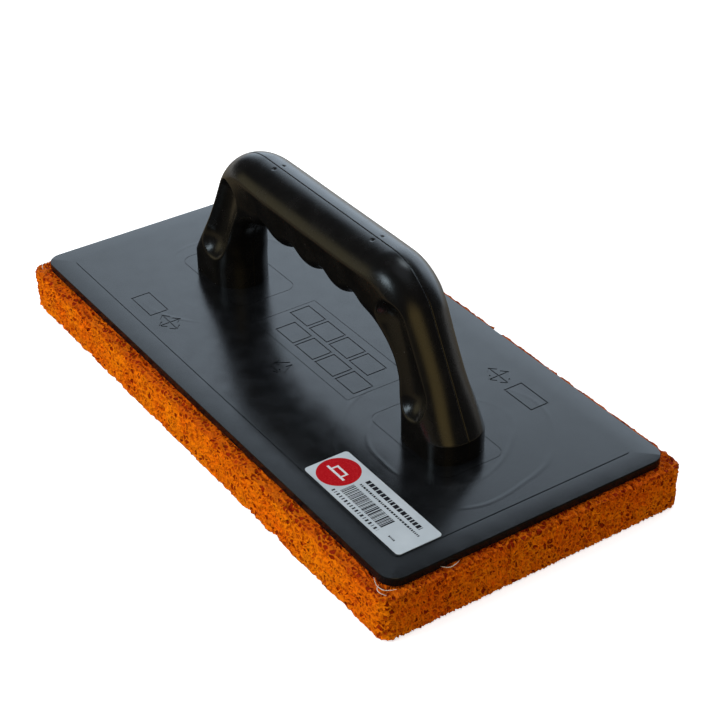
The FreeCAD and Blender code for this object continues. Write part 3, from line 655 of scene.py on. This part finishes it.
def foam_material():
    """Orange open-cell foam rubber: thin walls in the foam's own orange, with painted shade in the hollows, a
    painted shadow on the top rim under the plate, and a few pores painted red-brown as deep shade.
    """
    material, tree, shader = new_material("orange_foam")
    where = object_place(tree)
    warp = node(tree, "ShaderNodeTexNoise")
    warp.inputs["Scale"].default_value = WARP_SCALE
    put(tree, where, warp.inputs["Vector"])
    shift = node(tree, "ShaderNodeVectorMath", operation="SCALE")
    put(tree, warp.outputs["Color"], shift.inputs[0])
    shift.inputs["Scale"].default_value = WARP_REACH
    uneven = node(tree, "ShaderNodeVectorMath", operation="ADD")
    put(tree, where, uneven.inputs[0])
    put(tree, shift.outputs[0], uneven.inputs[1])
    pore = node(tree, "ShaderNodeAttribute", attribute_name="pore").outputs["Fac"]
    wide_wall, wide_hollow, wide_pick = foam_cells(tree, uneven.outputs[0], WIDE_CELL)
    fine_wall, fine_hollow, fine_pick = foam_cells(tree, uneven.outputs[0], FINE_CELL)
    level = parts_of(tree, where)["Z"]
    # painted shadow: the top rim of the pad, just under the plate, is darkened in its hollows and walls, and
    # more of its pores are painted deep
    rim = remap(tree, level, (PAD_HEIGHT - 2.4) * MM, (PAD_HEIGHT - 1.2) * MM)
    wall = blend_colours(tree, remap(tree, noise(tree, where, 60, 4), 0.3, 0.7), *FOAM_WALL)

    # painted shade: the cells' hollows are darkened, the small ones less, and the walls keep the foam's own
    # orange
    open_wide = calc(tree, "MULTIPLY", wide_hollow, remap(tree, wide_pick, -0.5, 0.7))
    open_fine = calc(tree, "MULTIPLY", fine_hollow, remap(tree, fine_pick, 0.45, 0.9))
    both_walls = calc(tree, "MAXIMUM", wide_wall, fine_wall)
    bowl = blend_colours(tree, open_wide, wall, blend_colours(tree, rim, HOLLOW_SHADE, RIM_HOLLOW_SHADE))
    bowl = blend_colours(tree, calc(tree, "MULTIPLY", open_fine, 0.55), bowl, FINE_HOLLOW_SHADE)
    bowl = blend_colours(tree, calc(tree, "MULTIPLY", both_walls, 0.5), bowl, wall)
    bowl = blend_colours(tree, calc(tree, "MULTIPLY", rim, 0.5), bowl, RIM_SHADE)

    # painted shade: pores that are deep in the mesh, some picked cells, and more cells along the top rim are
    # darkened to red-brown
    rim_pore_shade = calc(tree, "MULTIPLY", rim, remap(tree, wide_pick, 0.4, 0.6))
    picked = calc(tree, "MAXIMUM", remap(tree, wide_pick, 0.78, 0.86), rim_pore_shade)
    hole = calc(tree, "MULTIPLY", remap(tree, wide_hollow, 0.25, 0.6), picked)
    deep = calc(tree, "MAXIMUM", remap(tree, pore, 0.9, 1.8), calc(tree, "MULTIPLY", hole, 0.85))
    put(tree, blend_colours(tree, deep, bowl, DEEP_PORE_SHADE), shader.inputs["Base Color"])
    shader.inputs["Roughness"].default_value = 0.7
    shader.inputs["Specular IOR Level"].default_value = 0.12

    sunk = calc(tree, "MULTIPLY", wide_hollow, remap(tree, wide_pick, -0.2, 1.0))
    sunk = calc(tree, "ADD", sunk, calc(tree, "MULTIPLY", open_fine, 0.45))
    rough = calc(tree, "MULTIPLY", noise(tree, where, 1800, 3), 0.15)
    height = calc(tree, "ADD", calc(tree, "MULTIPLY", sunk, -1.0), rough)
    put(tree, bump(tree, height, 0.00045), shader.inputs["Normal"])
    return material


# ---------------------------------------------------------------- the sticker

# In millimetres from the sticker's lower left corner: the disc's place and radius; then each row of
# bars as its start, end, level, height, widest bar and gap; then the bar code's box.
DISC_X, DISC_Y, DISC_RADIUS = 9.4, 9.9, 8.75
BAR_ROWS = (
    (20.5, 55, 14.4, 2.1, 2.2, 0.5),
    (20.5, 58, 11.9, 0.9, 1.3, 0.4),
    (17.0, 46.5, 1.4, 1.5, 1.1, 1.0),
    (51.5, 55, 3.2, 0.8, 0.9, 0.3),
)
CODE_LEFT, CODE_LOW, CODE_RIGHT, CODE_HIGH = 19.2, 4.0, 46.5, 10.2
PRINT_THICK = 0.02
PRINT_SEED = 5


def sticker_material():
    material, tree, shader = new_material("sticker_white")
    where = object_place(tree)
    tone = remap(tree, noise(tree, where, 90, 3), 0.3, 0.7)
    put(tree, blend_colours(tree, tone, (0.47, 0.52, 0.56), (0.53, 0.58, 0.62)), shader.inputs["Base Color"])
    shader.inputs["Roughness"].default_value = 0.5
    shader.inputs["Specular IOR Level"].default_value = 0.25
    put(tree, bump(tree, noise(tree, where, 700, 2), 0.00002), shader.inputs["Normal"])
    return material


def ink_material(name, colour):
    material, tree, shader = new_material(name)
    where = object_place(tree)
    tone = remap(tree, noise(tree, where, 1600, 2), 0.35, 0.75)
    lighter = tuple(min(c * 1.25 + 0.01, 1) for c in colour)
    put(tree, blend_colours(tree, tone, colour, lighter), shader.inputs["Base Color"])
    shader.inputs["Roughness"].default_value = 0.6
    shader.inputs["Specular IOR Level"].default_value = 0.04
    return material


def flat_bars(name, boxes, thick, level, material):
    """Thin printed bars: (low x, low y, high x, high y) each, standing on the given level."""
    points, faces = [], []
    for x0, y0, x1, y1 in boxes:
        first = len(points)
        for z in (level, level + thick):
            points += [(x0, y0, z), (x1, y0, z), (x1, y1, z), (x0, y1, z)]
        faces += [tuple(first + k for k in face) for face in (
            (3, 2, 1, 0), (4, 5, 6, 7), (0, 1, 5, 4), (1, 2, 6, 5), (2, 3, 7, 6), (3, 0, 4, 7))]
    return mesh_object(name, points, faces, material)


def disc(name, cx, cy, radius, thick, level, material):
    points, faces = [], []
    count = 64
    for z in (level, level + thick):
        for k in range(count):
            angle = 2 * math.pi * k / count
            points.append((cx + radius * math.cos(angle), cy + radius * math.sin(angle), z))
    faces.append(tuple(range(count))[::-1])
    faces.append(tuple(range(count, 2 * count)))
    faces += [(k, (k + 1) % count, count + (k + 1) % count, count + k) for k in range(count)]
    return mesh_object(name, points, faces, material)


def sticker_print():
    """A red disc with a plain float picture, rows of grey bars in place of words, and a bar code."""
    top = LABEL[1][2] / MM
    red = ink_material("ink_red", (0.40, 0.002, 0.006))
    dark = ink_material("ink_dark", (0.012, 0.012, 0.016))
    pale = ink_material("ink_pale", (0.60, 0.62, 0.64))
    source = random.Random(PRINT_SEED)
    left, low = LABEL[0][0] / MM, LABEL[0][1] / MM
    cx, cy = left + DISC_X, low + DISC_Y
    pieces = [disc("sticker_disc", cx, cy, DISC_RADIUS, PRINT_THICK, top, red)]
    sign = [(cx - 5.6, cy - 1.9, cx + 5.6, cy - 0.9), (cx - 3.6, cy - 0.9, cx - 2.8, cy + 1.2),
            (cx + 2.8, cy - 0.9, cx + 3.6, cy + 1.2), (cx - 3.6, cy + 1.2, cx + 3.6, cy + 2.1)]
    pieces.append(flat_bars("sticker_sign", sign, PRINT_THICK / 2, top + PRINT_THICK, pale))

    def bars_in_row(start, end, y, tall, widest, gap):
        row, x = [], left + start
        while x < left + end:
            length = min(source.uniform(0.35, 1.0) * widest, left + end - x)
            row.append((x, low + y, x + length, low + y + tall))
            x += length + gap
        return row

    rows = [bar for row in BAR_ROWS for bar in bars_in_row(*row)]
    pieces.append(flat_bars("sticker_words", rows, PRINT_THICK, top, dark))
    code, x = [], left + CODE_LEFT
    while x < left + CODE_RIGHT:
        wide = source.choice((0.25, 0.25, 0.5, 0.75))
        code.append((x, low + CODE_LOW, x + wide, low + CODE_HIGH))
        x += wide + source.choice((0.25, 0.3, 0.55))
    pieces.append(flat_bars("sticker_code", code, PRINT_THICK, top, dark))
    return pieces


# ---------------------------------------------------------------- glue strands


def strand(name, path, radius, material):
    """A dried thread of glue: a thin tube that tapers at both ends."""
    curve = bpy.data.curves.new(name, "CURVE")
    curve.dimensions = "3D"
    curve.bevel_depth = radius * MM
    curve.bevel_resolution = 3
    curve.use_fill_caps = True
    spline = curve.splines.new("NURBS")
    spline.points.add(len(path) - 1)
    for index, (point, (x, y, z)) in enumerate(zip(spline.points, path)):
        point.co = (x * MM, y * MM, z * MM, 1)
        point.radius = 0.45 if index in (0, len(path) - 1) else 1.0
    spline.order_u = 3
    spline.use_endpoint_u = True
    obj = bpy.data.objects.new(name, curve)
    bpy.context.scene.collection.objects.link(obj)
    curve.materials.append(material)
    return obj


# Each strand's end of the plate (1 or -1 in X), then its points in millimetres from the lower edge of
# the plate's -Y corner at that end.
STRANDS = (
    (1, ((-9, -0.6, 0.5), (-6, -2.0, 0.1), (-3, -2.6, 0.9), (-0.5, -1.4, 0.4), (1.6, 1.8, 1.2))),
    (1, ((-5, -1.2, 0.2), (-3.6, -3.4, 0.5), (-1.0, -3.6, 0.1), (1.4, -2.4, 0.3))),
    (1, ((0.2, 22, 1.0), (1.6, 24, 0.1), (2.2, 27, 0.5), (0.6, 30, 0.2))),
    (-1, ((-0.4, 3, 0.6), (-2.0, 1.0, 0.2), (-1.0, -1.8, 0.4), (2.4, -2.6, 0.2))),
)
STRAND_RADIUS = 0.16


def glue_strands(material):
    """Threads of glue squeezed out at two corners and part of the way along the near short side."""
    half_l, half_w, rim = PLATE[1][0] / MM, PLATE[1][1] / MM, PLATE[0][2] / MM
    made = []
    for k, (end, points) in enumerate(STRANDS, start=1):
        path = [(end * half_l + x, -half_w + y, rim + z) for x, y, z in points]
        made.append(strand(f"glue_strand_{k}", path, STRAND_RADIUS, material))
    return made


# ---------------------------------------------------------------- floor, lights and camera


def seen_directly(tree):
    return node(tree, "ShaderNodeLightPath").outputs["Is Camera Ray"]


def facing(tree, direction, aim):
    """How nearly a direction points the same way as aim: 1 along it, 0 across it."""
    made = node(tree, "ShaderNodeVectorMath", operation="DOT_PRODUCT")
    put(tree, direction, made.inputs[0])
    made.inputs[1].default_value = aim
    return made.outputs["Value"]


def studio_floor():
    """A floor that looks white. What the gloss picks up from it is warm and dim in front and bright
    behind, as if dark screens stood round the object."""
    mesh = bpy.data.meshes.new("floor")
    mesh.from_pydata([(-6, -6, 0), (6, -6, 0), (6, 6, 0), (-6, 6, 0)], [], [(0, 1, 2, 3)])
    floor = bpy.data.objects.new("floor", mesh)
    bpy.context.scene.collection.objects.link(floor)
    material, tree, shader = new_material("pale_floor")
    shader.inputs["Roughness"].default_value = 0.9
    shader.inputs["Emission Strength"].default_value = 0.68
    where = object_place(tree)
    behind = remap(tree, facing(tree, where, (*BACKDROP_WAY, 0)), 0.05, 0.7)
    picked_up = blend_colours(tree, behind, (0.13, 0.095, 0.045), (1.0, 1.0, 1.0))
    away = node(tree, "ShaderNodeVectorMath", operation="LENGTH")
    put(tree, where, away.inputs[0])
    far = remap(tree, away.outputs["Value"], 0.4, 1.3)
    seen = blend_colours(tree, far, (1.0, 1.0, 1.0), (1.55, 1.55, 1.55))
    glow = blend_colours(tree, seen_directly(tree), picked_up, seen)
    put(tree, glow, shader.inputs["Emission Color"])
    body = blend_colours(tree, seen_directly(tree), (0.10, 0.08, 0.05), (0.88, 0.88, 0.88))
    put(tree, body, shader.inputs["Base Color"])
    mesh.materials.append(material)


def studio_world():
    """A sky that looks white. What the gloss picks up from it is a bright wall on the far side, a dim
    patch overhead and two warm walls, with dark between them."""
    world = bpy.data.worlds.new("studio")
    bpy.context.scene.world = world
    world.use_nodes = True
    tree = world.node_tree
    sky = tree.nodes["Background"]
    where = node(tree, "ShaderNodeTexCoord").outputs["Generated"]
    height = parts_of(tree, where)["Z"]
    level = node(tree, "ShaderNodeVectorMath", operation="MULTIPLY")
    put(tree, where, level.inputs[0])
    level.inputs[1].default_value = (1, 1, 0)
    heading = node(tree, "ShaderNodeVectorMath", operation="NORMALIZE")
    put(tree, level.outputs[0], heading.inputs[0])
    low = remap(tree, height, 0.70, 0.555)
    behind = remap(tree, facing(tree, heading.outputs[0], (*BACKDROP_WAY, 0)), 0.64, 0.93)
    tone = blend_colours(tree, calc(tree, "MULTIPLY", low, behind), (0.032, 0.033, 0.036), (1.45, 1.72, 2.0))
    tone = blend_colours(tree, remap(tree, height, 0.93, 0.99), tone, (0.26, 0.28, 0.31))
    for aim, edge, full, glow in WARM_WALLS:
        tone = blend_colours(tree, remap(tree, facing(tree, where, aim), edge, full), tone, glow)
    put(tree, blend_colours(tree, seen_directly(tree), tone, (1.0, 1.0, 1.0)), sky.inputs["Color"])


def lamp(name, place, target, wide, tall, power, colour, glossy=True):
    data = bpy.data.lights.new(name, "AREA")
    data.shape = "RECTANGLE"
    data.size, data.size_y = wide, tall
    data.energy = power
    data.color = colour
    made = bpy.data.objects.new(name, data)
    bpy.context.scene.collection.objects.link(made)
    made.location = place
    aim = Vector(target) - Vector(place)
    made.rotation_euler = aim.to_track_quat("-Z", "Y").to_euler()
    made.visible_glossy = glossy


def studio():
    studio_floor()
    studio_world()
    lamp("left_key", (-0.6, -1.3, 0.75), (0, 0, 0), 1.2, 0.8, 16, (1.0, 0.98, 0.95), glossy=False)
    lamp("front_box", (-0.20, -0.99, 0.88), (0.06, 0, 0.09), 0.30, 0.30, 1.9, (0.74, 0.90, 1.0))
    lamp("top_box", (-0.22, 0.42, 1.18), (0.06, 0, 0.09), 0.26, 0.26, 0.85, (0.80, 0.92, 1.0))
    lamp("front_fill", (1.3, -0.5, 0.6), (0, 0, 0), 0.9, 0.9, 3.5, (1.0, 0.97, 0.93), glossy=False)
    lamp("top_fill", (0.1, 0.1, 1.6), (0, 0, 0), 1.4, 1.4, 9, (0.96, 0.98, 1.0), glossy=False)


LENS = 92.05
EYE = (0.5352, -0.3419, 0.4435)
AZIMUTH, ELEVATION, ROLL = 56.46, 33.70, -0.92


def camera():
    data = bpy.data.cameras.new("camera")
    data.sensor_fit = "HORIZONTAL"
    data.sensor_width = 36
    data.lens = LENS
    data.clip_start = 0.01
    eye = bpy.data.objects.new("camera", data)
    bpy.context.scene.collection.objects.link(eye)
    azimuth, elevation, roll = math.radians(AZIMUTH), math.radians(ELEVATION), math.radians(ROLL)
    ahead = Vector((-math.sin(azimuth) * math.cos(elevation), math.cos(azimuth) * math.cos(elevation),
                    -math.sin(elevation)))
    level = Vector((math.cos(azimuth), math.sin(azimuth), 0))
    up = level.cross(ahead)
    right = level * math.cos(roll) + up * math.sin(roll)
    up = right.cross(ahead)
    turn = Matrix((right, up, -ahead)).transposed()
    eye.matrix_world = Matrix.Translation(EYE) @ turn.to_4x4()
    bpy.context.scene.camera = eye


# ---------------------------------------------------------------- the object


def mottled(name, first, second, scale, detail, roughness, metallic=0.0):
    """A material whose colour wanders between two tones."""
    material, tree, shader = new_material(name)
    tone = blend_colours(tree, noise(tree, object_place(tree), scale, detail), first, second)
    put(tree, tone, shader.inputs["Base Color"])
    shader.inputs["Roughness"].default_value = roughness
    shader.inputs["Metallic"].default_value = metallic
    return material


def repaint(name, material):
    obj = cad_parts[name]
    obj.data.materials.clear()
    obj.data.materials.append(material)


repaint("base_plate", plate_material())
repaint("label", sticker_material())
glue = mottled("dried_glue", (0.55, 0.50, 0.40), (0.75, 0.72, 0.64), 300, 3, 0.5)
repaint("glue_film", glue)
repaint("foot_screws", mottled("screw_zinc", (0.42, 0.42, 0.43), (0.6, 0.6, 0.6), 900, 2, 0.35, metallic=1.0))

grip_black = grip_material()
for piece_name, side, replaced in (("grip_near", -1, "grip_shell_near"), ("grip_far", 1, "grip_shell_far")):
    half = grip_half_mesh(piece_name, side, grip_black)
    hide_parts(replaced)
    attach(half, "root")

foam = foam_pad(foam_material())
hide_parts("sponge_pad")
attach(foam, "root")

for piece in sticker_print():
    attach(piece, "root")

for piece in glue_strands(glue):
    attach(piece, "root")

studio()
camera()
bpy.context.scene.view_settings.view_transform = "Standard"
